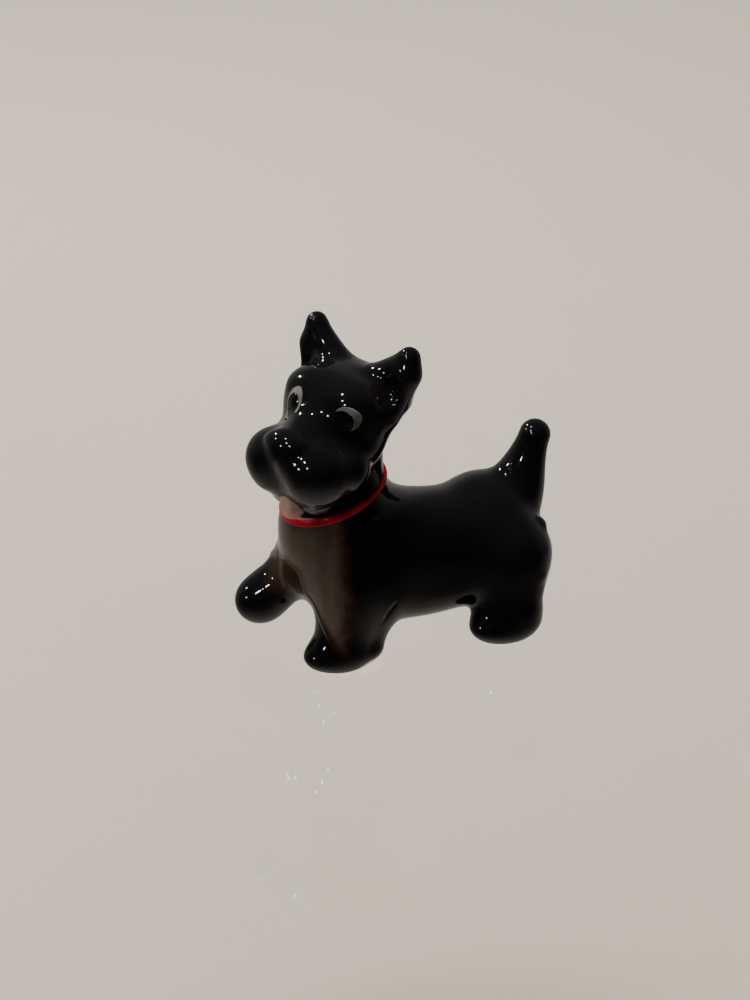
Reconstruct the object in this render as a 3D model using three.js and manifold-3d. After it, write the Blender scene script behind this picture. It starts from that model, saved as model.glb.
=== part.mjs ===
// A miniature glazed ceramic terrier, about 43 mm high, as the castings and applied details that
// it is made of. Millimetres, +Z up. The dog faces -Y and its left side is +X. It stands on its
// left foreleg and both hind legs, and its right foreleg is lifted forward.
//
// The outside is one smooth form, described by a field: the distance from a point to the surface,
// negative inside. Each casting is the part of that form beyond its joint with the next casting.

import * as THREE from 'three';
import { MarchingCubes } from 'three/addons/objects/MarchingCubes.js';
import { mergeVertices } from 'three/addons/utils/BufferGeometryUtils.js';
import Module from 'manifold-3d';

const wasm = await Module();
wasm.setup();

// Driving dimensions

const HEAD_CENTRE = [0.6, -6.5, 34.6];
const HEAD_TURN = THREE.MathUtils.degToRad(25); // towards the dog's left
const JOINT_GAP = 0.3; // between neighbouring pieces
const SOFT = 0.8; // how widely limbs and trunk flow into each other

const COLLAR_CENTRE = [0, -8, 22.3];
const COLLAR_UP = [0, -0.34, 1]; // the band slopes down towards the throat
const COLLAR_WIDTH = 1.1;
const COLLAR_PROUD = 0.35; // how far the band stands out of the neck
const COLLAR_DEPTH = 0.7; // how deep its groove is
const NECK_JOINT_ABOVE_COLLAR = 1.3;

// Vectors and the head's own directions

const vec = (point) => new THREE.Vector3(...point);

function headPoint(forward, left, up) {
  const sin = Math.sin(HEAD_TURN);
  const cos = Math.cos(HEAD_TURN);
  return [
    HEAD_CENTRE[0] + forward * sin + left * cos,
    HEAD_CENTRE[1] - forward * cos + left * sin,
    HEAD_CENTRE[2] + up,
  ];
}

function headDirection(forward, left, up) {
  const offset = vec(headPoint(forward, left, up)).sub(vec(HEAD_CENTRE));
  return offset.normalize().toArray();
}

// Fields

// An ellipsoid with its radii along X, Y and Z, turned about Z.
function egg(centre, radii, turn = 0) {
  const sin = Math.sin(turn);
  const cos = Math.cos(turn);
  const [rx, ry, rz] = radii;
  return (x, y, z) => {
    const dx = x - centre[0];
    const dy = y - centre[1];
    const across = dx * cos + dy * sin;
    const along = dy * cos - dx * sin;
    const dz = z - centre[2];
    const scaled = Math.hypot(across / rx, along / ry, dz / rz);
    const slope = Math.hypot(across / rx ** 2, along / ry ** 2, dz / rz ** 2);
    return (scaled * (scaled - 1)) / (slope + 1e-9);
  };
}

// A round limb from a to b, whose radius eases from one end's to the other's.
function limb(a, b, radiusA, radiusB) {
  const start = vec(a);
  const span = vec(b).sub(start);
  const lengthSquared = span.lengthSq();
  return (x, y, z) => {
    const dx = x - start.x;
    const dy = y - start.y;
    const dz = z - start.z;
    const along = (dx * span.x + dy * span.y + dz * span.z) / lengthSquared;
    const t = THREE.MathUtils.clamp(along, 0, 1);
    const radius = radiusA + (radiusB - radiusA) * t * t * (3 - 2 * t);
    return Math.hypot(dx - span.x * t, dy - span.y * t, dz - span.z * t) - radius;
  };
}

// A straight-sided round cone from a to b.
function spike(a, b, radiusA, radiusB) {
  const start = vec(a);
  const span = vec(b).sub(start);
  const lengthSquared = span.lengthSq();
  return (x, y, z) => {
    const dx = x - start.x;
    const dy = y - start.y;
    const dz = z - start.z;
    const along = (dx * span.x + dy * span.y + dz * span.z) / lengthSquared;
    const t = THREE.MathUtils.clamp(along, 0, 1);
    const radius = radiusA + (radiusB - radiusA) * t;
    return Math.hypot(dx - span.x * t, dy - span.y * t, dz - span.z * t) - radius;
  };
}

// The smooth union of several fields.
function blend(width, ...fields) {
  return (x, y, z) => {
    let sum = 0;
    for (const field of fields) {
      sum += Math.exp(-field(x, y, z) / width);
    }
    return -width * Math.log(sum);
  };
}

// One field with another hollowed out of it.
function hollow(width, body, tool) {
  const filled = blend(width, (x, y, z) => -body(x, y, z), tool);
  return (x, y, z) => -filled(x, y, z);
}

// The form, sub-part by sub-part

const SIDES = { left: 1, right: -1 };

function trunkField() {
  return blend(
    1.3,
    egg([-0.8, -8.6, 15.2], [6.8, 6.3, 9.6]), // chest
    egg([0, 1, 12.2], [6.9, 12.5, 6.6]), // barrel
    egg([0, 11.8, 11.9], [7, 5.6, 7.2]), // rump
    egg([1.4, 3.2, 7.6], [5.4, 11.2, 4.1]), // belly skirt
    limb([-0.4, -2.5, 14.5], [-0.2, -6.5, 22], 5.2, 3.1), // withers
    limb([-0.2, -9.5, 18], [0.2, -7.6, 27], 5.2, 4.4), // neck
  );
}

function standingForelegField() {
  return blend(
    0.5,
    limb([3.4, -7.8, 11], [4.1, -10, 2.9], 4.7, 3.5),
    limb([3.8, -5.3, 9], [4.4, -6.7, 2.2], 3.6, 2.1), // elbow feathering
    egg([4.1, -10.3, 1.7], [3.1, 4.7, 2.3]), // paw
  );
}

function liftedForelegField() {
  return blend(
    0.5,
    limb([-3.6, -8.7, 12.7], [-5.2, -14.7, 7.4], 4.9, 3),
    egg([-5.6, -16.5, 5.8], [2.9, 3.4, 3.2]), // paw
  );
}

function hindlegField(side) {
  return blend(
    0.5,
    limb([side * 4.2, 13, 10], [side * 6.2, 12.2, 3.8], 5.6, 4.3),
    egg([side * 7, 11.3, 1.9], [3.3, 4.7, 2.5]), // paw
  );
}

function tailField() {
  return limb([0, 16, 15.6], [0, 18.8, 23.5], 3.6, 2);
}

// The right ear stands a little taller than the left.
function earField(side) {
  const tip = headPoint(-1.6, side * 7.1, 6.7 - side * 0.3);
  const shoulder = headPoint(-1, side * 7.2, 4.3);
  const cone = blend(
    0.45,
    spike(headPoint(-0.8, side * 3.4, 2.8), tip, 2.1, 1), // inner edge
    spike(headPoint(1, side * 5.2, -0.4), shoulder, 2, 1.3), // outer edge
    spike(shoulder, tip, 1.3, 1),
    spike(headPoint(-1.2, side * 5, 1.2), headPoint(-1.4, side * 7, 4.6), 2.5, 1.4), // back
  );
  const cup = egg(headPoint(2.8, side * 6.4, 3.5), [2, 2.3, 3], HEAD_TURN);
  return hollow(0.3, cone, cup);
}

function skullAndMuzzleField() {
  const bare = [
    egg(headPoint(0.4, -0.3, -0.5), [6.4, 5.4, 4.7], HEAD_TURN), // skull
    egg(headPoint(4, -0.2, -0.4), [6.2, 3.8, 4.1], HEAD_TURN), // brow
    limb(headPoint(4, 0, -2.4), headPoint(11.8, 0, -2.6), 4.4, 2.7), // bridge
    limb(headPoint(4, 0, -6), headPoint(10.6, 0, -8.2), 3.8, 2.2), // chin
  ];
  const beard = [];
  for (const side of Object.values(SIDES)) {
    bare.push(egg(headPoint(3.4, side * 2.8, -3.4), [3.4, 3.9, 4.2], HEAD_TURN)); // cheek
    bare.push(egg(headPoint(4, side * 3.2, 2), [2.6, 2.6, 1.7], HEAD_TURN)); // brow ridge
    const lobe = limb(headPoint(11, side * 3.1, -4.8), headPoint(7.2, side * 4.2, -5.6), 3.5, 3.1);
    const tuft = limb(headPoint(10.4, side * 2.8, -6.6), headPoint(9.6, side * 2.2, -8.9), 3.2, 2.3);
    beard.push(blend(0.6, lobe, tuft));
  }
  return blend(0.6, blend(0.8, ...bare), ...beard);
}

const bodyField = blend(
  SOFT,
  trunkField(),
  standingForelegField(),
  liftedForelegField(),
  hindlegField(SIDES.left),
  hindlegField(SIDES.right),
  tailField(),
);
const headField = blend(
  0.5,
  skullAndMuzzleField(),
  earField(SIDES.left),
  earField(SIDES.right),
);
const formField = blend(0.4, bodyField, headField);

// Solids

// A closed geometry as a solid that can be joined and cut.
function solidFrom(geometry) {
  geometry.deleteAttribute('normal');
  geometry.deleteAttribute('uv');
  const merged = mergeVertices(geometry, 1e-4);
  const corners = merged.index.array;
  const kept = [];
  for (let i = 0; i < corners.length; i += 3) {
    const [a, b, c] = corners.subarray(i, i + 3);
    if (a !== b && b !== c && c !== a) {
      kept.push(a, b, c);
    }
  }
  const mesh = new wasm.Mesh({
    numProp: 3,
    vertProperties: new Float32Array(merged.attributes.position.array),
    triVerts: new Uint32Array(kept),
  });
  mesh.merge();
  return new wasm.Manifold(mesh);
}

// The solid of a field inside a cube, offset outwards by grow. It is closed at the cube's sides.
function fieldSolid(field, centre, halfSize, cell, grow = 0) {
  const border = 2;
  const count = Math.ceil((2 * halfSize) / cell) + 2 * border;
  const halfSpan = (count * cell) / 2;
  const cubes = new MarchingCubes(count, new THREE.Material(), false, false, 40000);
  const place = (index, axis) => centre[axis] + (index - count / 2) * cell;
  for (let k = border; k < count - border; k++) {
    for (let j = border; j < count - border; j++) {
      for (let i = border; i < count - border; i++) {
        cubes.setCell(i, j, k, grow - field(place(i, 0), place(j, 1), place(k, 2)));
      }
    }
  }
  for (let index = 0; index < cubes.field.length; index++) {
    if (cubes.field[index] === 0) {
      cubes.field[index] = -cell;
    }
  }
  cubes.isolation = 0;
  cubes.update();
  const corners = cubes.geometry.attributes.position.array.slice(0, cubes.count * 3);
  const geometry = new THREE.BufferGeometry();
  geometry.setAttribute('position', new THREE.BufferAttribute(corners, 3));
  geometry.scale(halfSpan, halfSpan, halfSpan);
  geometry.translate(...centre);
  return solidFrom(geometry);
}

// A box whose base is centred on a point and which reaches out along a direction. Its width runs
// as nearly along X as that direction allows.
function block(base, out, width, depth, reach) {
  const geometry = new THREE.BoxGeometry(width, depth, reach);
  geometry.translate(0, 0, reach / 2);
  const outward = vec(out).normalize();
  const across = new THREE.Vector3(1, 0, 0).projectOnPlane(outward).normalize();
  const along = new THREE.Vector3().crossVectors(outward, across);
  geometry.applyMatrix4(new THREE.Matrix4().makeBasis(across, along, outward));
  geometry.translate(...base);
  return solidFrom(geometry);
}

// A joint's block takes the outer piece; grown by the gap, it frees the inner piece from it.
function jointBlock(joint, grow = 0) {
  const out = vec(joint.out).normalize();
  const base = vec(joint.base).addScaledVector(out, -grow).toArray();
  const [width, depth] = joint.size;
  return block(base, joint.out, width + 2 * grow, depth + 2 * grow, joint.reach + 2 * grow);
}

// A pad is an ellipsoid with radii across, along and up in the head's directions, then tilted.
function pad(centre, radii, tilt, grow = 0) {
  const geometry = new THREE.SphereGeometry(1, 14, 10);
  geometry.rotateX(Math.PI / 2);
  geometry.scale(radii[0] + grow, radii[1] + grow, radii[2] + grow);
  geometry.rotateX(tilt.nod);
  geometry.rotateZ(HEAD_TURN + tilt.turn);
  geometry.translate(...centre);
  return solidFrom(geometry);
}

function meshFrom(name, solid, material) {
  const { numProp, vertProperties, triVerts } = solid.getMesh();
  const corners = new Float32Array((vertProperties.length / numProp) * 3);
  for (let i = 0; i < corners.length / 3; i++) {
    corners.set(vertProperties.subarray(i * numProp, i * numProp + 3), i * 3);
  }
  const geometry = new THREE.BufferGeometry();
  geometry.setAttribute('position', new THREE.BufferAttribute(corners, 3));
  geometry.setIndex(new THREE.BufferAttribute(new Uint32Array(triVerts), 1));
  geometry.computeVertexNormals();
  const mesh = new THREE.Mesh(geometry, material);
  mesh.name = name;
  return mesh;
}

// Joints between castings: the face's centre, its direction, and how wide and long a block it cuts

const NECK_OUT = vec(COLLAR_UP).normalize();
const NECK_JOINT = {
  base: vec(COLLAR_CENTRE).addScaledVector(NECK_OUT, NECK_JOINT_ABOVE_COLLAR).toArray(),
  out: COLLAR_UP,
  size: [30, 34],
  reach: 34,
};
const LIFTED_FORELEG_JOINT = {
  base: [-4.9, -12.1, 9.7],
  out: [-0.2, -0.74, -0.65],
  size: [8, 9.4],
  reach: 12,
};
const STANDING_FORELEG_JOINT = {
  base: [4.2, -9.6, 8.2],
  out: [0.1, -0.1, -1],
  size: [9.6, 11.6],
  reach: 12,
};
const TAIL_JOINT = {
  base: [0, 16.6, 19],
  out: [0, 0.5, 0.87],
  size: [10, 9],
  reach: 12,
};

function hindlegJoint(side) {
  return { base: [side * 6.6, 13.2, 8], out: [side * 0.12, 0, -1], size: [11.4, 14], reach: 12 };
}

function earJoint(side) {
  return {
    base: headPoint(-0.6, side * 3.5, 4.4),
    out: headDirection(0, side * 0.62, 0.78),
    size: [14, 12],
    reach: 10,
  };
}

// Applied details

const NOSE = { centre: headPoint(12.7, 0, -1.6), radii: [2.9, 1.6, 1.6], tilt: { nod: 0, turn: 0 } };
const EYES = { left: headPoint(6.5, 4.3, 0.6), right: headPoint(7.5, -2.6, 0.9) };

function eyePad(name, grow = 0) {
  const tilt = { nod: -0.1, turn: SIDES[name] * 0.42 };
  return pad(EYES[name], [1.5, 0.8, 1.9], tilt, grow);
}

function tonguePad(grow = 0) {
  return pad(headPoint(11.7, 0.1, -9.6), [1.6, 1.1, 2.4], { nod: -0.1, turn: 0 }, grow);
}

// A slice of the neck square to the collar, centred on the band.
function collarSlice(width) {
  const base = vec(COLLAR_CENTRE).addScaledVector(NECK_OUT, -width / 2).toArray();
  return block(base, COLLAR_UP, 18, 18, width);
}

// The neck near the collar, offset outwards by grow.
function neckAtCollar(grow) {
  return fieldSolid(bodyField, COLLAR_CENTRE, 9, 1.5, grow);
}

// Pieces

function glaze(colour, roughness) {
  return new THREE.MeshStandardMaterial({ color: colour, roughness, metalness: 0 });
}

const MATERIALS = {
  black: () => glaze(0x17161a, 0.12),
  red: () => glaze(0xa8142a, 0.3),
  pink: () => glaze(0xd6a2a0, 0.35),
  eye: () => glaze(0xb9b7b4, 0.3),
};

function groundBlock() {
  return block([0, 0, 0], [0, 0, -1], 80, 80, 10);
}

function legPiece(joint, cell) {
  const middle = vec(joint.base).addScaledVector(vec(joint.out).normalize(), 4).toArray();
  const body = fieldSolid(formField, middle, 10.5, cell);
  return body.intersect(jointBlock(joint)).subtract(groundBlock());
}

function outerPiece(joint, halfSize, cell) {
  const middle = vec(joint.base).addScaledVector(vec(joint.out).normalize(), halfSize - 2);
  return fieldSolid(formField, middle.toArray(), halfSize, cell).intersect(jointBlock(joint));
}

function torsoPiece(joints) {
  let torso = fieldSolid(bodyField, [0, 1, 14], 20.5, 2);
  for (const joint of joints) {
    torso = torso.subtract(jointBlock(joint, JOINT_GAP));
  }
  const core = neckAtCollar(-COLLAR_DEPTH);
  return torso.subtract(collarSlice(COLLAR_WIDTH + 2 * JOINT_GAP).subtract(core));
}

function collarPiece() {
  const inside = neckAtCollar(JOINT_GAP - COLLAR_DEPTH);
  return collarSlice(COLLAR_WIDTH).intersect(neckAtCollar(COLLAR_PROUD)).subtract(inside);
}

function headPiece() {
  let head = fieldSolid(formField, [4, -10, 33.5], 14.5, 1.4);
  head = head.intersect(jointBlock(NECK_JOINT));
  for (const [name, side] of Object.entries(SIDES)) {
    head = head.subtract(jointBlock(earJoint(side), JOINT_GAP));
    head = head.subtract(eyePad(name, JOINT_GAP));
  }
  head = head.subtract(pad(NOSE.centre, NOSE.radii, NOSE.tilt, JOINT_GAP));
  return head.subtract(tonguePad(JOINT_GAP));
}

function buildDog() {
  const joints = {
    foreleg_left: STANDING_FORELEG_JOINT,
    foreleg_right: LIFTED_FORELEG_JOINT,
    hindleg_left: hindlegJoint(SIDES.left),
    hindleg_right: hindlegJoint(SIDES.right),
  };
  const dog = new THREE.Group();
  const add = (name, solid, material) => dog.add(meshFrom(name, solid, material()));

  add('torso', torsoPiece([...Object.values(joints), TAIL_JOINT, NECK_JOINT]), MATERIALS.black);
  for (const [name, joint] of Object.entries(joints)) {
    add(name, legPiece(joint, 1.4), MATERIALS.black);
  }
  add('tail', outerPiece(TAIL_JOINT, 7, 1.2), MATERIALS.black);
  add('head', headPiece(), MATERIALS.black);
  for (const [name, side] of Object.entries(SIDES)) {
    add(`ear_${name}`, outerPiece(earJoint(side), 7, 1.1), MATERIALS.black);
    add(`eye_${name}`, eyePad(name), MATERIALS.eye);
  }
  add('nose', pad(NOSE.centre, NOSE.radii, NOSE.tilt), MATERIALS.black);
  add('tongue', tonguePad(), MATERIALS.pink);
  add('collar', collarPiece(), MATERIALS.red);
  return dog;
}

// Stand the dog on Z = 0 with its box centred on the Z axis.
function centreOnGround(group) {
  const box = new THREE.Box3().setFromObject(group);
  const centre = box.getCenter(new THREE.Vector3());
  group.position.set(-centre.x, -centre.y, -box.min.z);
  return group;
}

export default centreOnGround(buildDog());
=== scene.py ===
"""A glazed ceramic terrier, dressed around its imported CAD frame.

The outside is one smooth form, described by a field: the distance from a point to the surface,
negative inside. The field works in millimetres, in the dog's own frame: it faces -Y, its left side
is +X, and Z = 0 is the ground. It is meshed finely and then cut into castings where the CAD nodes
have their flat joint faces.
"""

import math
from functools import partial

import bmesh
import bpy
import numpy as np
import openvdb
from mathutils import Matrix, Vector


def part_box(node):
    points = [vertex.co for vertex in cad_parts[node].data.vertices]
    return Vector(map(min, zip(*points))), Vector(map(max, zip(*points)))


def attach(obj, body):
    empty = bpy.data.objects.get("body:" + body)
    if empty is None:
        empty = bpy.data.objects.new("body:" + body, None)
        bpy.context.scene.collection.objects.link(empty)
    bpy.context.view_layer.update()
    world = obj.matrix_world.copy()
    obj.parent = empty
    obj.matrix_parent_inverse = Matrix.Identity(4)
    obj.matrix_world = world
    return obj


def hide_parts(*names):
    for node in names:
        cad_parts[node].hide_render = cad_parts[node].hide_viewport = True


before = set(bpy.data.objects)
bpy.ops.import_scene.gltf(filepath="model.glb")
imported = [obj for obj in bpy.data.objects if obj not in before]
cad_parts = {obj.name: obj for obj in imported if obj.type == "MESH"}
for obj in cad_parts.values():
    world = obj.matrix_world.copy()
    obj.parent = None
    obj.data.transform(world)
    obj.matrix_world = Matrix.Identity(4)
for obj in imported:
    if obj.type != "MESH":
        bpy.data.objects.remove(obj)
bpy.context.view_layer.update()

MM = 0.001
SIDES = {"left": 1, "right": -1}

# In cutting order: each ear is cut away before the head that carries it.
CASTINGS = [
    "ear_left", "ear_right", "head", "tail",
    "foreleg_left", "foreleg_right", "hindleg_left", "hindleg_right",
]

# ---------------------------------------------------------------- driving dimensions, mm

HEAD_CENTRE = np.array([0.6, -6.5, 34.6])
HEAD_TURN = math.radians(25)
EYES = {"left": (6.5, 4.3, 0.6), "right": (7.5, -2.6, 0.9)}
NOSE = (12.7, 0, -1.6)
COLLAR_CENTRE = (0, -8, 22.3)
COLLAR_SLOPE = 0.34  # the band slopes down towards the throat
JOINT_GAP = 0.3  # between neighbouring CAD nodes
JOINT_FACE_AREA = 5.0  # the least area of a joint's flat face
SKIN_CELL = 0.24
DETAIL_CELL = 0.12


# ---------------------------------------------------------------- the head's own directions

def head_axes():
    """Left, backward and up, as rows."""
    sin, cos = math.sin(HEAD_TURN), math.cos(HEAD_TURN)
    return np.array([[cos, sin, 0], [-sin, cos, 0], [0, 0, 1]])


def on_head(forward, left, up):
    """A point given in the head's own directions, in the dog's frame."""
    return HEAD_CENTRE + np.array([left, -forward, up]) @ head_axes()


def frame_origin():
    """Where the dog's own origin lies in the frame: the eyes' centres fix it."""
    boxes = [np.array(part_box(f"eye_{name}")) for name in SIDES]
    found = np.mean([box.mean(axis=0) for box in boxes], axis=0) / MM
    return found - np.mean([on_head(*EYES[name]) for name in SIDES], axis=0)


# ---------------------------------------------------------------- fields

def egg(p, centre, radii, axes=None):
    """An ellipsoid, with its radii along the given axes."""
    q = p - np.asarray(centre)
    if axes is not None:
        q = q @ axes.T
    radii = np.asarray(radii, float)
    scaled = np.linalg.norm(q / radii, axis=-1)
    slope = np.linalg.norm(q / radii**2, axis=-1)
    return scaled * (scaled - 1) / (slope + 1e-9)


def limb(p, a, b, radius_a, radius_b):
    """A round limb from a to b, whose radius eases from one end's to the other's."""
    a, b = np.asarray(a, float), np.asarray(b, float)
    span = b - a
    t = np.clip((p - a) @ span / (span @ span), 0, 1)
    radius = radius_a + (radius_b - radius_a) * t * t * (3 - 2 * t)
    return np.linalg.norm(p - (a + t[..., None] * span), axis=-1) - radius


def spike(p, a, b, radius_a, radius_b):
    """A straight-sided round cone from a to b."""
    a, b = np.asarray(a, float), np.asarray(b, float)
    span = b - a
    t = np.clip((p - a) @ span / (span @ span), 0, 1)
    radius = radius_a + (radius_b - radius_a) * t
    return np.linalg.norm(p - (a + t[..., None] * span), axis=-1) - radius


def stroke(p, *points_and_radii):
    """A bent groove or ridge through several (point, radius) pairs."""
    pairs = zip(points_and_radii[:-1], points_and_radii[1:])
    return np.minimum.reduce([spike(p, a, b, ra, rb) for (a, ra), (b, rb) in pairs])


def smooth_step(value):
    t = np.clip(value, 0, 1)
    return t * t * (3 - 2 * t)


def blend(width, *distances):
    """The smooth union of several distances."""
    nearest = np.minimum.reduce(distances)
    total = sum(np.exp(-(d - nearest) / width) for d in distances)
    return nearest - width * np.log(total)


def carve(width, body, tool):
    """One distance with another hollowed out of it."""
    return -blend(width, -body, tool)


def trunk_field(p):
    return blend(
        1.3,
        egg(p, [-0.8, -8.6, 15.2], [6.8, 6.3, 9.6]),  # chest
        egg(p, [0, 1, 12.2], [6.9, 12.5, 6.6]),  # barrel
        egg(p, [0, 11.8, 11.9], [7, 5.6, 7.2]),  # rump
        egg(p, [1.4, 3.2, 7.6], [5.4, 11.2, 4.1]),  # belly skirt
        limb(p, [-0.4, -2.5, 14.5], [-0.2, -6.5, 22], 5.2, 3.1),  # withers
        limb(p, [-0.2, -9.5, 18], [0.2, -7.6, 27], 5.2, 4.4),  # neck
    )


def standing_foreleg_field(p):
    return blend(
        0.5,
        limb(p, [3.4, -7.8, 11], [4.1, -10, 2.9], 4.7, 3.5),
        limb(p, [3.8, -5.3, 9], [4.4, -6.7, 2.2], 3.6, 2.1),  # elbow feathering
        egg(p, [4.1, -10.3, 1.7], [3.1, 4.7, 2.3]),  # paw
    )


def lifted_foreleg_field(p):
    return blend(
        0.5,
        limb(p, [-3.6, -8.7, 12.7], [-5.2, -14.7, 7.4], 4.9, 3),
        egg(p, [-5.6, -16.5, 5.8], [2.9, 3.4, 3.2]),  # paw
    )


def hindleg_field(p, side):
    return blend(
        0.5,
        limb(p, [side * 4.2, 13, 10], [side * 6.2, 12.2, 3.8], 5.6, 4.3),
        egg(p, [side * 7, 11.3, 1.9], [3.3, 4.7, 2.5]),  # paw
    )


def tail_field(p):
    return limb(p, [0, 16, 15.6], [0, 18.8, 23.5], 3.6, 2)


def ear_field(p, side):
    """A cupped ear. The right one stands a little taller than the left."""
    tip = on_head(-1.6, side * 7.1, 6.7 - side * 0.3)
    shoulder = on_head(-1, side * 7.2, 4.3)
    cone = blend(
        0.45,
        spike(p, on_head(-0.8, side * 3.4, 2.8), tip, 2.1, 1.0),  # inner edge
        spike(p, on_head(1, side * 5.2, -0.4), shoulder, 2, 1.3),  # outer edge
        spike(p, shoulder, tip, 1.3, 1.0),
        spike(p, on_head(-1.2, side * 5, 1.2), on_head(-1.4, side * 7, 4.6), 2.5, 1.4),  # back
    )
    cup = egg(p, on_head(2.8, side * 6.4, 3.5), [2, 2.3, 3], head_axes())
    return carve(0.3, cone, cup)


def skull_field(p):
    axes = head_axes()
    bare = [
        egg(p, on_head(0.4, -0.3, -0.5), [6.4, 5.4, 4.7], axes),  # skull
        egg(p, on_head(4, -0.2, -0.4), [6.2, 3.8, 4.1], axes),  # brow
        limb(p, on_head(4, 0, -2.4), on_head(11.8, 0, -2.6), 4.4, 2.7),  # bridge
        limb(p, on_head(4, 0, -6), on_head(10.6, 0, -8.2), 3.8, 2.2),  # chin
    ]
    beard = []
    for side in SIDES.values():
        bare.append(egg(p, on_head(3.4, side * 2.8, -3.4), [3.4, 3.9, 4.2], axes))  # cheek
        bare.append(egg(p, on_head(4, side * 3.2, 2), [2.6, 2.6, 1.7], axes))  # brow ridge
        lobe = limb(p, on_head(11, side * 3.1, -4.8), on_head(7.2, side * 4.2, -5.6), 3.5, 3.1)
        tuft = limb(p, on_head(10.4, side * 2.8, -6.6), on_head(9.6, side * 2.2, -8.9), 3.2, 2.3)
        beard.append(blend(0.6, lobe, tuft))
    return blend(0.6, blend(0.8, *bare), *beard)


def body_field(p):
    return blend(
        0.8,
        trunk_field(p),
        standing_foreleg_field(p),
        lifted_foreleg_field(p),
        hindleg_field(p, SIDES["left"]),
        hindleg_field(p, SIDES["right"]),
        tail_field(p),
    )


def form_field(p):
    head = blend(0.5, skull_field(p), ear_field(p, SIDES["left"]), ear_field(p, SIDES["right"]))
    return blend(0.4, body_field(p), head)


# ---------------------------------------------------------------- modelled relief

def chest_line(p):
    """Height above the bib's lower edge, which runs over the lifted leg and down the standing one."""
    x, z = p[..., 0], p[..., 2]
    over_lifted_leg = z - (13.6 - 0.35 * np.abs(x + 0.5))
    down_standing_leg = np.minimum(z - (11.6 - 1.1 * x), 1.2 * (x - 1.8))
    return np.maximum(over_lifted_leg, down_standing_leg)


def bib_field(p):
    """How far inside the taupe patch on the chest a point is."""
    in_front = -10.4 - p[..., 1] - 0.12 * np.maximum(0, 9 - p[..., 2])
    collar_height = COLLAR_CENTRE[2] + COLLAR_SLOPE * (p[..., 1] - COLLAR_CENTRE[1])
    below_collar = collar_height + 0.3 - p[..., 2]
    return np.minimum(np.minimum(in_front, chest_line(p)), below_collar)


def leg_crease(p):
    """The crease where the lifted leg's inner side meets the chest."""
    return stroke(p, ([-3.6, -15.1, 13.3], 0.12), ([-2.6, -15.3, 11], 0.16), ([-2.0, -15.1, 9], 0.1))


def eyeball_field(p, name):
    """The rounded eyeball, sunk a little behind the eye's outline."""
    forward, left, up = EYES[name]
    return egg(p, on_head(forward - 0.75, left * 0.93, up), [1.5, 1.5, 1.8], head_axes())


def cheek_ridge_field(p, side):
    """The ridge of fur that runs from the ear's root down the cheek."""
    return stroke(
        p,
        (on_head(1.9, side * 6.3, 1.2), 0.25),
        (on_head(3.1, side * 6.2, -1.4), 0.45),
        (on_head(5.2, side * 5.5, -4), 0.3),
    )


def fur_bumps_field(p, side):
    """The scalloped fur down the back of a thigh."""
    bumps = [
        ([5.2, 16.4, 13.4], 1.5),
        ([7.4, 15.5, 11.2], 1.5),
        ([8.3, 14.9, 8.6], 1.4),
        ([8.2, 14.5, 6.2], 1.3),
        ([7.8, 14.0, 4.0], 1.2),
    ]
    return np.minimum.reduce([
        egg(p, [side * x, y, z], [radius * 0.85, radius, radius]) for (x, y, z), radius in bumps
    ]) + 0.12


def grooves_field(p):
    """Incised marks: the elbow's tuft on each side, and a nick on the shoulder."""
    marks = [
        stroke(p, ([7.75, -4.4, 8.8], 0.14), ([7.8, -5.2, 7.7], 0.34), ([7.6, -6, 6.4], 0.16)),
        stroke(p, ([-7.1, -3.4, 9.6], 0.14), ([-7.2, -4.2, 8.4], 0.34), ([-7.1, -5, 7.2], 0.16)),
        stroke(p, ([5.6, -6.9, 19.4], 0.06), ([5.65, -6.4, 19.7], 0.16), ([5.4, -5.8, 19.8], 0.06)),
    ]
    return np.minimum.reduce(marks)


def skin_field(p):
    """The whole glazed outside, with its relief and its flat soles."""
    raised = [form_field(p), nose_field(p)]
    for name, side in SIDES.items():
        raised += [eyeball_field(p, name), cheek_ridge_field(p, side), fur_bumps_field(p, side)]
    skin = blend(0.18, *raised)
    rim = np.exp(-(chest_line(p) / 0.3) ** 2) * smooth_step((-11 - p[..., 1]) / 2)
    skin = skin - 0.12 * rim
    skin = carve(0.12, skin, grooves_field(p))
    skin = carve(0.12, skin, leg_crease(p))
    return carve(0.12, skin, p[..., 2])


def nose_field(p):
    return egg(p, on_head(*NOSE), [2.9, 1.6, 1.6], head_axes())


def nose_block_field(p):
    """The part of the skin that belongs to the nose."""
    return egg(p, on_head(*NOSE), [3.2, 1.9, 1.9], head_axes())


def tongue_field(p):
    return limb(p, on_head(11.2, 0, -8.2), on_head(11.8, 0.2, -10.2), 1.8, 1.5)


# ---------------------------------------------------------------- meshing a field

def gradient(field, p, step=0.02):
    """The field's slope at each point, which is the outward normal near its surface."""
    slopes = []
    for axis in range(3):
        offset = np.zeros(3)
        offset[axis] = step
        slopes.append(field(p + offset) - field(p - offset))
    return np.stack(slopes, axis=-1) / (2 * step)


def sampled_grid(field, low, counts, cell, block=4):
    """The field on a grid, worked out exactly only in the blocks that the surface may cross."""
    blocks = -(-counts // block)
    steps = [low[axis] + cell * (block * np.arange(blocks[axis]) + (block - 1) / 2) for axis in range(3)]
    centres = np.stack(np.meshgrid(*steps, indexing="ij"), axis=-1)
    coarse = field(centres)
    reach = cell * block
    near = np.abs(coarse) < reach * 1.25
    values = np.repeat(np.repeat(np.repeat(coarse, block, 0), block, 1), block, 2)
    values = np.where(values > 0, reach, -reach).astype(np.float32)
    offsets = np.stack(np.meshgrid(*[np.arange(block)] * 3, indexing="ij"), axis=-1).reshape(-1, 3)
    corners = np.argwhere(near) * block
    for chunk in np.array_split(corners, max(1, len(corners) // 4000)):
        index = chunk[:, None] + offsets
        exact = field(low + cell * index)
        values[index[..., 0], index[..., 1], index[..., 2]] = exact
    return values


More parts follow.
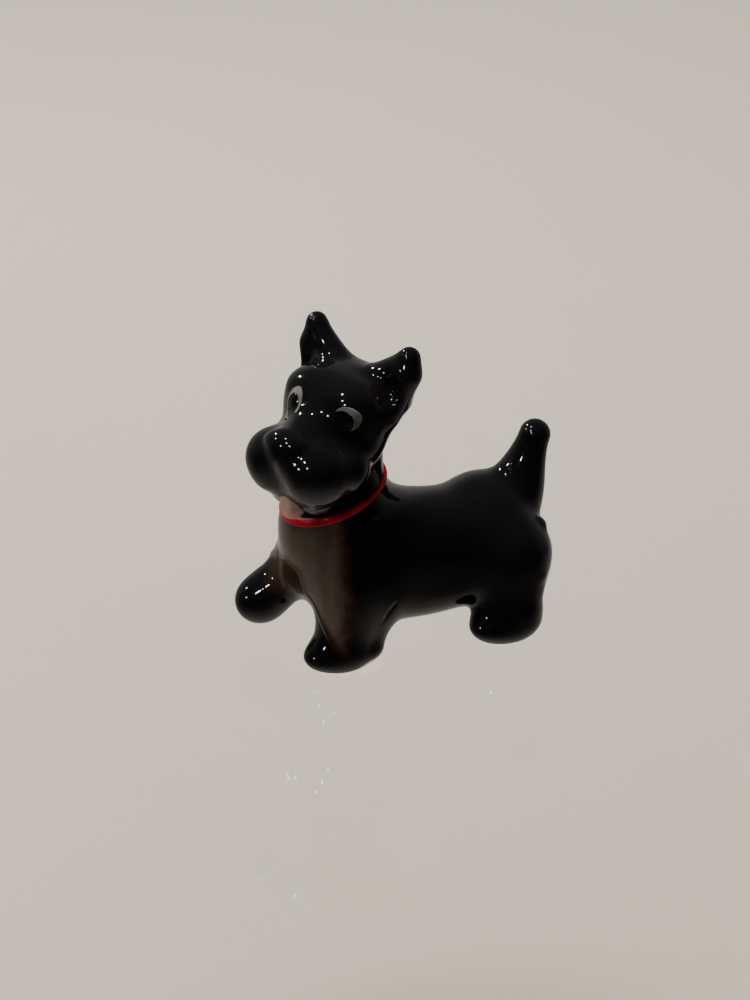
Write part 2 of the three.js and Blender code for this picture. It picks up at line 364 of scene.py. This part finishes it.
def field_surface(field, low, high, cell):
    """Vertices exactly on the field's surface, and the quads between them, facing out."""
    low = np.asarray(low, float)
    counts = np.ceil((np.asarray(high) - low) / cell).astype(int) + 1
    grid = openvdb.FloatGrid(float(cell * 4))
    grid.copyFromArray(sampled_grid(field, low, counts, cell))
    vertices, quads = grid.convertToQuads(0.0)
    vertices = low + vertices.astype(float) * cell
    for _ in range(3):
        slope = gradient(field, vertices)
        lengths = np.maximum((slope**2).sum(axis=-1, keepdims=True), 0.05)
        vertices = vertices - np.clip(field(vertices)[:, None], -cell, cell) * slope / lengths
    return vertices, quads[:, ::-1]


def outward_mesh(name, vertices, quads):
    """A mesh in the frame's metres, with its faces turned outwards."""
    mesh = bpy.data.meshes.new(name)
    mesh.from_pydata(((vertices + ORIGIN) * MM).tolist(), [], quads.tolist())
    solid = bmesh.new()
    solid.from_mesh(mesh)
    if solid.calc_volume(signed=True) < 0:
        bmesh.ops.reverse_faces(solid, faces=solid.faces)
    solid.to_mesh(mesh)
    solid.free()
    return mesh


def vertex_points(mesh):
    """A mesh's vertices, in the dog's own millimetres."""
    corners = np.zeros(len(mesh.vertices) * 3)
    mesh.vertices.foreach_get("co", corners)
    return corners.reshape(-1, 3) / MM - ORIGIN


def smooth_by_field(mesh, field):
    """Shades the skin by the field's own slope, so joints between castings don't show."""
    points = vertex_points(mesh)
    slope = gradient(field, points)
    slope /= np.linalg.norm(slope, axis=-1, keepdims=True)
    on_skin = np.abs(field(points)) < 0.03
    mesh.shade_smooth()
    normals = []
    for face in mesh.polygons:
        skin_face = all(on_skin[v] for v in face.vertices)
        leaning = slope[list(face.vertices)] @ np.array(face.normal)
        follows = skin_face and leaning.min() > 0.5
        for v in face.vertices:
            normals.append(slope[v] if follows else face.normal)
    mesh.normals_split_custom_set([tuple(n) for n in normals])


def add_piece(name, mesh, material, node):
    piece = bpy.data.objects.new(name, mesh)
    bpy.context.collection.objects.link(piece)
    mesh.materials.clear()
    mesh.materials.append(material)
    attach(piece, "root")
    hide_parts(node)


# ---------------------------------------------------------------- cutting the skin into castings

def joint_planes(node):
    """The flat faces on which a CAD node meets its neighbours, as (normal, offset) in mm."""
    flats = {}
    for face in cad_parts[node].data.polygons:
        offset = face.normal.dot(face.center) / MM
        key = (*(round(n, 2) for n in face.normal), round(offset, 1))
        flats.setdefault(key, []).append(face)
    planes = []
    for faces in flats.values():
        area = sum(face.area for face in faces) / MM**2
        normal = sum((face.normal * face.area for face in faces), Vector()).normalized()
        sole = normal.z < -0.99
        if area > JOINT_FACE_AREA and not sole:
            offset = normal.dot(faces[0].center) / MM
            planes.append((area, normal, offset))
    planes.sort(key=lambda plane: -plane[0])
    if node == "head":
        planes = planes[:1]  # only the neck's, because the ears are cut away first
    return [(normal, offset) for _, normal, offset in planes]


def joint_block(node, margin=2.5):
    """A convex block around a node, cut back to the middle of its joint gaps."""
    low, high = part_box(node)
    block = bmesh.new()
    bmesh.ops.create_cube(block, size=1)
    spread = Vector((margin, margin, margin)) * MM
    size = (high - low) + 2 * spread
    bmesh.ops.scale(block, vec=size, verts=block.verts)
    bmesh.ops.translate(block, vec=(low + high) / 2, verts=block.verts)
    for normal, offset in joint_planes(node):
        point = normal * (offset + JOINT_GAP / 2) * MM
        geometry = block.verts[:] + block.edges[:] + block.faces[:]
        cut = bmesh.ops.bisect_plane(block, geom=geometry, plane_co=point, plane_no=normal, clear_outer=True)
        edges = [part for part in cut["geom_cut"] if isinstance(part, bmesh.types.BMEdge)]
        bmesh.ops.contextual_create(block, geom=edges)
    bmesh.ops.recalc_face_normals(block, faces=block.faces)
    mesh = bpy.data.meshes.new(f"block_{node}")
    block.to_mesh(mesh)
    block.free()
    return bpy.data.objects.new(mesh.name, mesh)


def boolean(mesh, tool, operation):
    """The mesh cut by the tool, as a new mesh."""
    holder = bpy.data.objects.new("cutting", mesh)
    bpy.context.collection.objects.link(holder)
    bpy.context.collection.objects.link(tool)
    cut = holder.modifiers.new("cut", "BOOLEAN")
    cut.operation = operation
    cut.solver = "MANIFOLD"
    cut.object = tool
    bpy.context.view_layer.update()
    evaluated = holder.evaluated_get(bpy.context.evaluated_depsgraph_get())
    result = bpy.data.meshes.new_from_object(evaluated)
    bpy.data.objects.remove(holder)
    bpy.context.collection.objects.unlink(tool)
    return result


def close_slivers(mesh, reach_mm=0.002):
    """Closes the hair-thin faces that a cut leaves where it grazes the skin's own corners."""
    solid = bmesh.new()
    solid.from_mesh(mesh)
    bmesh.ops.triangulate(solid, faces=solid.faces)
    bmesh.ops.remove_doubles(solid, verts=solid.verts, dist=reach_mm * MM)
    bmesh.ops.dissolve_degenerate(solid, edges=solid.edges, dist=reach_mm * MM)
    by_corners = {}
    for face in solid.faces:
        by_corners.setdefault(frozenset(face.verts), []).append(face)
    folded = [face for faces in by_corners.values() if len(faces) > 1 for face in faces]
    bmesh.ops.delete(solid, geom=folded, context="FACES")
    loose = [face for face in solid.faces if any(edge.is_boundary for edge in face.edges)]
    bmesh.ops.delete(solid, geom=loose, context="FACES")
    solid.to_mesh(mesh)
    solid.free()


def mark_glaze_and_sheen(mesh):
    """Stores, on each vertex, where the glaze changes and where a reflection is painted: the shader turns
    these into colours.
    """
    points = vertex_points(mesh)
    for name, field in GLAZE_AND_SHEEN_MARKS.items():
        layer = mesh.attributes.new(name, "FLOAT", "POINT")
        layer.data.foreach_set("value", field(points).astype(np.float32))


def add_casting(name, mesh, material, node):
    close_slivers(mesh)
    smooth_by_field(mesh, skin_field)
    mark_glaze_and_sheen(mesh)
    add_piece(name, mesh, material, node)


def build_castings(material):
    """Cuts the nose, then each casting, away from the skin; the torso is what is left."""
    low = [-14, -25, -1]
    high = [14, 25, 46]
    uncut = outward_mesh("skin", *field_surface(skin_field, low, high, SKIN_CELL))
    nose_surface = field_surface(nose_block_field, *box_around("nose", 2), SKIN_CELL)
    nose_block = bpy.data.objects.new("nose_block", outward_mesh("nose_block", *nose_surface))
    add_casting("nose_pad", boolean(uncut, nose_block, "INTERSECT"), material, "nose")
    uncut = boolean(uncut, nose_block, "DIFFERENCE")
    for node in CASTINGS:
        block = joint_block(node)
        add_casting(f"{node}_casting", boolean(uncut, block, "INTERSECT"), material, node)
        uncut = boolean(uncut, block, "DIFFERENCE")
    add_casting("torso_casting", uncut, material, "torso")


def build_detail(name, field, low, high, material, node, slot):
    mesh = outward_mesh(name, *field_surface(field, low, high, DETAIL_CELL))
    smooth_by_field(mesh, field)
    add_piece(name, mesh, material, node)


def box_around(node, margin=1.0):
    """A CAD node's box with a margin, in the dog's own millimetres."""
    low, high = (np.array(corner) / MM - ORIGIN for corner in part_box(node))
    return low - margin, high + margin


# ---------------------------------------------------------------- applied details

def collar_plane():
    """The band's middle and its normal, from the CAD collar's two flat rims."""
    (normal, offset), (_, other) = joint_planes("collar")[:2]
    if normal.z < 0:
        normal, offset, other = -normal, -offset, -other
    middle = (offset + -other) / 2 if other < 0 else (offset + other) / 2
    return np.array(normal), middle


def collar_field(p):
    """A band 0.9 mm wide that follows the neck and stands 0.26 mm out of it."""
    normal, middle = COLLAR
    across = (p + ORIGIN) @ normal - middle
    band = np.abs(body_field(p)) - 0.26
    return carve(0.1, band, 0.45 - np.abs(across))


def eye_outline_field(p, name):
    """The pale outline around an eye: an open crescent on the left, a closed oval on the right."""
    q = (p - on_head(*EYES[name])) @ head_axes().T
    if name == "left":
        radius_across, radius_up = 1.35, 1.45
        from_thickest = np.arctan2(q[..., 2], q[..., 0]) - math.radians(40)
        turn = np.arctan2(np.sin(from_thickest), np.cos(from_thickest))
        half_width = 0.36 * np.sqrt(np.clip(np.cos(turn * 0.9), 0, 1)) - 0.08
    else:
        radius_across, radius_up = 1.1, 1.75
        half_width = 0.2
    oval = np.hypot(q[..., 0] / radius_across, q[..., 2] / radius_up) - 1
    band = np.abs(oval) * radius_across - half_width
    skin = np.abs(skin_field(p)) - 0.1
    behind = -1.6 - q[..., 1]
    return np.maximum(np.maximum(skin, band), behind)


# ---------------------------------------------------------------- where the glaze changes, and where a reflection is painted

def near(distance, reach):
    """1 at and within the distance's zero, easing to 0 at its reach."""
    return smooth_step(1 - distance / reach)


def thin_glaze_and_painted_sheen(p):
    """Pale lines: a painted reflection along the muzzle's groove and the lifted leg's crease, where light
    glints in the hollow, and a pale line along the bib's raised lower edge.
    """
    q = (p - HEAD_CENTRE) @ head_axes().T
    left, forward, up = q[..., 0], -q[..., 1], q[..., 2]
    groove = near(np.abs(left), 0.75) * smooth_step((forward - 10) / 2) * smooth_step((-2.6 - up) / 1.2)
    groove = groove * smooth_step((10.5 + up) / 2)
    rim = near(np.abs(chest_line(p)), 0.45) * smooth_step((-12.4 - p[..., 1]) / 1.0)
    crease = near(leg_crease(p), 0.35)
    return np.maximum(groove, np.maximum(rim, crease) * smooth_step((16 - p[..., 2]) / 2))


def brown_glaze(p):
    """The lifted leg's root, whose glaze is thin enough to be brown."""
    root = np.linalg.norm((p - [-1.2, -15, 11.2]) / [2.6, 3, 3], axis=-1) - 0.7
    return near(root, 0.9) * smooth_step(-chest_line(p) / 0.2)


def ear_tint(p):
    """The ears' cups, tinted faintly red-brown."""
    axes = head_axes()
    cups = [egg(p, on_head(2.2, side * 6.5, 3.3), [1.6, 2.4, 2.7], axes) for side in SIDES.values()]
    return near(np.minimum.reduce(cups), 0.8)


def bare_clay(p):
    """The soles, wiped clean of glaze, and the rough rim behind the standing paw."""
    sole = near(p[..., 2] - 0.05, 0.22)
    rim = near(np.linalg.norm((p - [5.8, -6.6, 0]) / [3.0, 2.4, 1.1], axis=-1) - 0.7, 0.6)
    return np.maximum(sole, rim)


GLAZE_AND_SHEEN_MARKS = {
    "bib": bib_field,
    # the thin mark is partly a painted reflection in the muzzle's groove and the leg's crease
    "thin": thin_glaze_and_painted_sheen,
    "brown": brown_glaze,
    "ear_tint": ear_tint,
    "clay": bare_clay,
}


# ---------------------------------------------------------------- materials

def new_material(name):
    """A material, its node tree and its shader."""
    material = bpy.data.materials.new(name)
    material.use_nodes = True
    shader = material.node_tree.nodes["Principled BSDF"]
    return material, material.node_tree, shader


def noise(tree, scale, detail=2.0, stretch=(1, 1, 1)):
    """Seedless noise in the piece's own metres; stretch scales the pattern along each axis."""
    place = tree.nodes.new("ShaderNodeTexCoord")
    mapping = tree.nodes.new("ShaderNodeMapping")
    mapping.inputs["Scale"].default_value = stretch
    texture = tree.nodes.new("ShaderNodeTexNoise")
    texture.inputs["Scale"].default_value = scale
    texture.inputs["Detail"].default_value = detail
    tree.links.new(place.outputs["Object"], mapping.inputs["Vector"])
    tree.links.new(mapping.outputs["Vector"], texture.inputs["Vector"])
    return texture.outputs["Fac"]


def height_above_sole(tree):
    place = tree.nodes.new("ShaderNodeTexCoord")
    split = tree.nodes.new("ShaderNodeSeparateXYZ")
    tree.links.new(place.outputs["Object"], split.inputs["Vector"])
    return split.outputs["Z"]


def mark(tree, name):
    """One of the glaze marks stored on the vertices."""
    node = tree.nodes.new("ShaderNodeAttribute")
    node.attribute_name = name
    return node.outputs["Fac"]


def mapped(tree, value, from_low, from_high, to_low=0.0, to_high=1.0):
    node = tree.nodes.new("ShaderNodeMapRange")
    node.inputs["From Min"].default_value = from_low
    node.inputs["From Max"].default_value = from_high
    node.inputs["To Min"].default_value = to_low
    node.inputs["To Max"].default_value = to_high
    tree.links.new(value, node.inputs["Value"])
    return node.outputs["Result"]


def combined(tree, operation, a, b):
    node = tree.nodes.new("ShaderNodeMath")
    node.operation = operation
    for socket, value in zip(node.inputs, (a, b)):
        if isinstance(value, (int, float)):
            socket.default_value = value
        else:
            tree.links.new(value, socket)
    return node.outputs["Value"]


def ramp(tree, value, stops):
    node = tree.nodes.new("ShaderNodeValToRGB")
    elements = node.color_ramp.elements
    while len(elements) < len(stops):
        elements.new(0.5)
    for element, (position, colour) in zip(elements, stops):
        element.position = position
        element.color = (*colour, 1)
    tree.links.new(value, node.inputs["Fac"])
    return node.outputs["Color"]


# The Mix node's colour sockets share their names with its other sockets, so they go by number.
MIX_COLOUR_BELOW = 6
MIX_COLOUR_ABOVE = 7
MIX_COLOUR_RESULT = 2


def tinted(tree, amount, below, above):
    """The colour below, changed towards the colour above by an amount."""
    node = tree.nodes.new("ShaderNodeMix")
    node.data_type = "RGBA"
    tree.links.new(amount, node.inputs["Factor"])
    tree.links.new(below, node.inputs[MIX_COLOUR_BELOW])
    if isinstance(above, tuple):
        node.inputs[MIX_COLOUR_ABOVE].default_value = (*above, 1)
    else:
        tree.links.new(above, node.inputs[MIX_COLOUR_ABOVE])
    return node.outputs[MIX_COLOUR_RESULT]


BLACK = (0.0030, 0.0028, 0.0034)
RED_BROWN = (0.016, 0.0042, 0.0024)
BROWN = (0.030, 0.0165, 0.0105)
TAUPE = (0.043, 0.0325, 0.0245)
PALE_TAUPE = (0.085, 0.071, 0.057)
BARE_CLAY = (0.62, 0.54, 0.44)

# Each mark's strength and the colour it leads to; the thin mark's pale taupe is partly a painted reflection.
GLAZE_AND_SHEEN_TINTS = [
    ("brown", 0.9, BROWN),
    ("thin", 0.55, PALE_TAUPE),
    ("ear_tint", 0.07, RED_BROWN),
]


def bib_colour(tree):
    """Black, through thin red-brown glaze, to the brushed taupe of the chest."""
    wobble = mapped(tree, noise(tree, 420, 3.0), 0.3, 0.7, -0.35, 0.35)
    inside = combined(tree, "ADD", mark(tree, "bib"), wobble)
    base = ramp(tree, mapped(tree, inside, -1.2, 1.6), [
        (0.0, BLACK), (0.16, BLACK), (0.36, RED_BROWN), (0.56, BROWN), (0.85, TAUPE), (1.0, TAUPE),
    ])
    strokes = mapped(tree, noise(tree, 500, 3.0, (1, 1, 0.28)), 0.35, 0.7, 0, 0.45)
    lower_down = mapped(tree, height_above_sole(tree), 17 * MM, 9 * MM, 0, 0.65)
    paler = combined(tree, "ADD", strokes, lower_down)
    inner = combined(tree, "MULTIPLY", paler, mapped(tree, inside, 0.4, 1.6))
    return tinted(tree, inner, base, PALE_TAUPE)


def black_glaze():
    material, tree, shader = new_material("black glaze")
    colour = bib_colour(tree)
    for name, strength, tint in GLAZE_AND_SHEEN_TINTS:
        colour = tinted(tree, mapped(tree, mark(tree, name), 0, 1, 0, strength), colour, tint)
    wobble = mapped(tree, noise(tree, 900, 4.0), 0.3, 0.7, -0.25, 0.25)
    bare = mapped(tree, combined(tree, "ADD", mark(tree, "clay"), wobble), 0.45, 0.6)
    colour = tinted(tree, bare, colour, BARE_CLAY)
    tree.links.new(colour, shader.inputs["Base Color"])
    tree.links.new(mapped(tree, bare, 0, 1, 0.2, 0.85), shader.inputs["Roughness"])
    tree.links.new(mapped(tree, bare, 0, 1, 1, 0), shader.inputs["Coat Weight"])
    shader.inputs["Specular IOR Level"].default_value = 0.02
    shader.inputs["Coat Roughness"].default_value = 0.015
    add_orange_peel(tree, shader)
    return material


def add_orange_peel(tree, shader, height_mm=0.012):
    """The slight unevenness of fired glaze, with a few finer pits."""
    swell = noise(tree, 260, 1.0)
    pits = mapped(tree, noise(tree, 1500, 1.0), 0.2, 0.34, -0.4, 0)
    bump = tree.nodes.new("ShaderNodeBump")
    bump.inputs["Strength"].default_value = 1.0
    bump.inputs["Distance"].default_value = height_mm * MM
    tree.links.new(combined(tree, "ADD", swell, pits), bump.inputs["Height"])
    tree.links.new(bump.outputs["Normal"], shader.inputs["Normal"])
    tree.links.new(bump.outputs["Normal"], shader.inputs["Coat Normal"])


def enamel(name, colour, worn_colour, roughness, speckle_scale=700):
    """Brushed on-glaze colour: slightly uneven, with thinner patches."""
    material, tree, shader = new_material(name)
    patches = noise(tree, speckle_scale, 3.0)
    tree.links.new(ramp(tree, patches, [(0.35, worn_colour), (0.6, colour)]), shader.inputs["Base Color"])
    shader.inputs["Roughness"].default_value = roughness
    shader.inputs["Specular IOR Level"].default_value = 0.2
    shader.inputs["Coat Weight"].default_value = 0.35
    shader.inputs["Coat Roughness"].default_value = 0.06
    add_orange_peel(tree, shader, 0.008)
    return material


# ---------------------------------------------------------------- camera, floor and light

VIEW_AZIMUTH = 64
VIEW_ELEVATION = 28
VIEW_DISTANCE = 0.35
LENS_MM = 101.7
SENSOR_MM = 36
AIM = np.array([-2.365, -2.297, 17.943])  # the middle of the view, near the trunk, in the dog's frame


def direction(azimuth, elevation):
    """Azimuth 0 is in front of the dog, and 90 is on its left. Both angles are in degrees."""
    azimuth, elevation = math.radians(azimuth), math.radians(elevation)
    level = math.cos(elevation)
    return Vector((math.sin(azimuth) * level, -math.cos(azimuth) * level, math.sin(elevation)))


def add_camera():
    back = direction(VIEW_AZIMUTH, VIEW_ELEVATION)
    right = direction(VIEW_AZIMUTH + 90, 0)
    turn = Matrix((right, back.cross(right), back)).transposed().to_4x4()
    place = Vector((AIM + ORIGIN) * MM) + back * VIEW_DISTANCE
    camera = bpy.data.objects.new("camera", bpy.data.cameras.new("camera"))
    camera.data.lens = LENS_MM
    camera.data.sensor_width = SENSOR_MM
    camera.data.clip_start = 0.01
    camera.matrix_world = Matrix.Translation(place) @ turn
    bpy.context.collection.objects.link(camera)
    bpy.context.scene.camera = camera


FLOOR_SIZE = 6
GROUND_HEIGHT = -0.07  # the pale ground lies well below the clear sheet that the dog stands on


def add_plane(name, height, material):
    """A level plane of staging, which the glaze doesn't reflect."""
    bpy.ops.mesh.primitive_plane_add(size=FLOOR_SIZE, location=(0, 0, height))
    plane = bpy.context.object
    plane.name = name
    plane.visible_glossy = False
    plane.data.materials.append(material)


def clear_sheet():
    """A clear acrylic sheet: it only adds the reflection off its top."""
    material, tree, shader = new_material("clear sheet")
    tree.nodes.remove(shader)
    facing = tree.nodes.new("ShaderNodeFresnel")
    facing.inputs["IOR"].default_value = 2.8
    through = tree.nodes.new("ShaderNodeBsdfTransparent")
    mirror = tree.nodes.new("ShaderNodeBsdfGlossy")
    mirror.inputs["Roughness"].default_value = 0.02
    mixed = tree.nodes.new("ShaderNodeMixShader")
    tree.links.new(facing.outputs["Fac"], mixed.inputs["Fac"])
    tree.links.new(through.outputs["BSDF"], mixed.inputs[1])
    tree.links.new(mirror.outputs["BSDF"], mixed.inputs[2])
    tree.links.new(mixed.outputs["Shader"], tree.nodes["Material Output"].inputs["Surface"])
    return material


def add_floor():
    ground, _, shader = new_material("ground")
    shader.inputs["Base Color"].default_value = (0.72, 0.66, 0.555, 1)
    shader.inputs["Roughness"].default_value = 0.8
    add_plane("ground", GROUND_HEIGHT, ground)
    add_plane("sheet", 0, clear_sheet())


def add_lamp(name, azimuth, elevation, size, power, distance):
    """A round lamp that faces the dog."""
    light = bpy.data.lights.new(name, "AREA")
    light.shape = "DISK"
    light.size = size
    light.energy = power
    light.color = (1, 0.97, 0.92)
    lamp = bpy.data.objects.new(name, light)
    lamp.location = direction(azimuth, elevation) * distance
    lamp.rotation_euler = lamp.location.to_track_quat("Z", "Y").to_euler()
    bpy.context.collection.objects.link(lamp)
    return lamp


SPOT_SIZE = 0.05
SPOT_DISTANCE = 0.9

# Each small ceiling lamp's azimuth, elevation and power.
SPOTS = {
    "spot_bright": (-70, 38, 2.0),
    "spot_high": (-20, 66, 1.0),
    "spot_front": (-34, 34, 0.9),
    "spot_middle": (16, 46, 0.9),
    "spot_low": (4, 16, 0.5),
    "spot_left": (32, 32, 0.8),
}


def add_world():
    """A pale room behind the dog; it is dark overhead and on the viewer's side."""
    world = bpy.data.worlds.new("room")
    bpy.context.scene.world = world
    world.use_nodes = True
    tree = world.node_tree
    background = tree.nodes["Background"]
    place = tree.nodes.new("ShaderNodeTexCoord")
    split = tree.nodes.new("ShaderNodeSeparateXYZ")
    tree.links.new(place.outputs["Generated"], split.inputs["Vector"])
    behind = tree.nodes.new("ShaderNodeVectorMath")
    behind.operation = "DOT_PRODUCT"
    behind.inputs[1].default_value = -direction(VIEW_AZIMUTH, 0)
    tree.links.new(place.outputs["Generated"], behind.inputs[0])
    away = mapped(tree, behind.outputs["Value"], -0.1, 0.9)
    height = mapped(tree, split.outputs["Z"], -1, 1)
    dark_side = ramp(tree, height, [
        (0.0, (0.50, 0.47, 0.42)), (0.22, (0.10, 0.095, 0.085)), (0.42, (0.012, 0.012, 0.012)),
        (0.5, (0.02, 0.02, 0.02)), (0.62, (0.012, 0.012, 0.012)), (1.0, (0.01, 0.01, 0.011)),
    ])
    wall = ramp(tree, height, [
        (0.0, (0.50, 0.47, 0.42)), (0.45, (0.26, 0.25, 0.23)), (0.62, (0.27, 0.265, 0.25)),
        (0.8, (0.08, 0.08, 0.078)), (0.92, (0.03, 0.03, 0.03)), (1.0, (0.01, 0.01, 0.011)),
    ])
    tree.links.new(tinted(tree, away, dark_side, wall), background.inputs["Color"])


def add_lights():
    add_world()
    for name, (azimuth, elevation, power) in SPOTS.items():
        add_lamp(name, azimuth, elevation, SPOT_SIZE, power, SPOT_DISTANCE)
    fill = add_lamp("ceiling_fill", azimuth=-95, elevation=79, size=1.2, power=80, distance=1.5)
    fill.visible_glossy = False


# ---------------------------------------------------------------- the dog

ORIGIN = frame_origin()
COLLAR = collar_plane()

glaze = black_glaze()
build_castings(glaze)
pink = enamel("pink enamel", (0.34, 0.215, 0.19), (0.27, 0.155, 0.135), 0.3)
build_detail("tongue_pad", tongue_field, *box_around("tongue", 2.5), pink, "tongue", "pink_enamel")
red = enamel("red enamel", (0.36, 0.003, 0.017), (0.24, 0.003, 0.011), 0.3)
build_detail("collar_band", collar_field, *box_around("collar"), red, "collar", "red_enamel")
pale = enamel("eye enamel", (0.085, 0.083, 0.078), (0.05, 0.049, 0.046), 0.35)
for side_name in SIDES:
    eye_node = f"eye_{side_name}"
    outline = partial(eye_outline_field, name=side_name)
    build_detail(f"{eye_node}_outline", outline, *box_around(eye_node), pale, eye_node, "eye_enamel")

add_camera()
add_floor()
add_lights()
